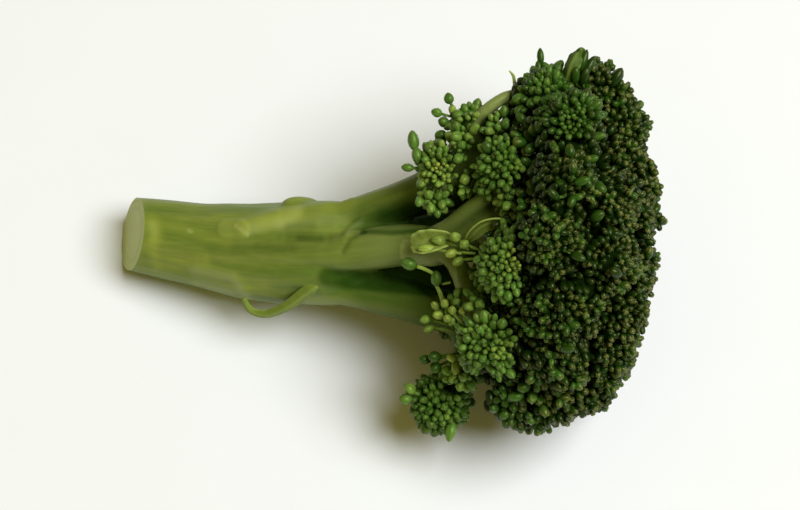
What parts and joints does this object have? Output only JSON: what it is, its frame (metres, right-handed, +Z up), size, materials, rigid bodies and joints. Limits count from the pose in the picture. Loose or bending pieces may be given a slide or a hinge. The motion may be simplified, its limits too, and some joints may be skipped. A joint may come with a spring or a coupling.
{
  "type": "broccoli head",
  "caption": "Cut head of broccoli lying on its side, with a slanting knife cut, forked stalk, domed crown of bud clusters and a few small leaves",
  "frame": {"origin": "middle of the head's box, on the surface it lies on", "axes": "+X runs along the stalk from the cut end to the crown, +Z up, +Y across the head"},
  "size_m": [0.1402, 0.0926, 0.0802],
  "materials": {
    "stem": "waxy skin, fine lengthwise ribs, satin",
    "branch": "waxy skin, satin",
    "dark_buds": "tight closed buds, waxy, small soft highlights",
    "young_buds": "loose paler buds, waxy, small soft highlights",
    "leaf": "thin pale leaf, satin"
  },
  "bodies": {
    "root": {"stalk": "stem", "upper_branch": "branch", "upper_floret_1": "young_buds", "upper_floret_2": "young_buds", "upper_floret_3": "dark_buds", "upper_floret_4": "dark_buds", "upper_floret_5": "dark_buds", "upper_floret_6": "dark_buds", "upper_floret_7": "dark_buds", "middle_branch": "branch", "middle_floret_1": "young_buds", "middle_floret_2": "young_buds", "middle_floret_3": "dark_buds", "middle_floret_4": "dark_buds", "middle_floret_5": "dark_buds", "middle_floret_6": "dark_buds", "middle_floret_7": "dark_buds", "middle_floret_8": "dark_buds", "middle_floret_9": "dark_buds", "lower_branch": "branch", "lower_floret_1": "young_buds", "lower_floret_2": "young_buds", "lower_floret_3": "dark_buds", "lower_floret_4": "dark_buds", "lower_floret_5": "dark_buds", "lower_floret_6": "dark_buds", "lower_floret_7": "dark_buds", "lower_floret_8": "dark_buds", "back_upper_branch": "branch", "back_upper_floret_1": "dark_buds", "back_upper_floret_2": "dark_buds", "back_upper_floret_3": "dark_buds", "back_upper_floret_4": "dark_buds", "back_upper_floret_5": "dark_buds", "back_upper_floret_6": "dark_buds", "back_upper_floret_7": "dark_buds", "back_upper_floret_8": "dark_buds", "back_lower_branch": "branch", "back_lower_floret_1": "dark_buds", "back_lower_floret_2": "dark_buds", "back_lower_floret_3": "dark_buds", "back_lower_floret_4": "dark_buds", "back_lower_floret_5": "dark_buds", "back_lower_floret_6": "dark_buds", "back_lower_floret_7": "dark_buds", "core_branch": "branch", "core_floret_1": "dark_buds", "core_floret_2": "dark_buds", "core_floret_3": "dark_buds", "core_floret_4": "dark_buds", "cup_leaf": "leaf", "curled_bract": "leaf", "crest_leaf": "leaf", "leaf_tip": "leaf", "stalk_bract": "leaf", "arching_stem": "branch", "bud_sprig": "young_buds"}
  },
  "joints": []
}
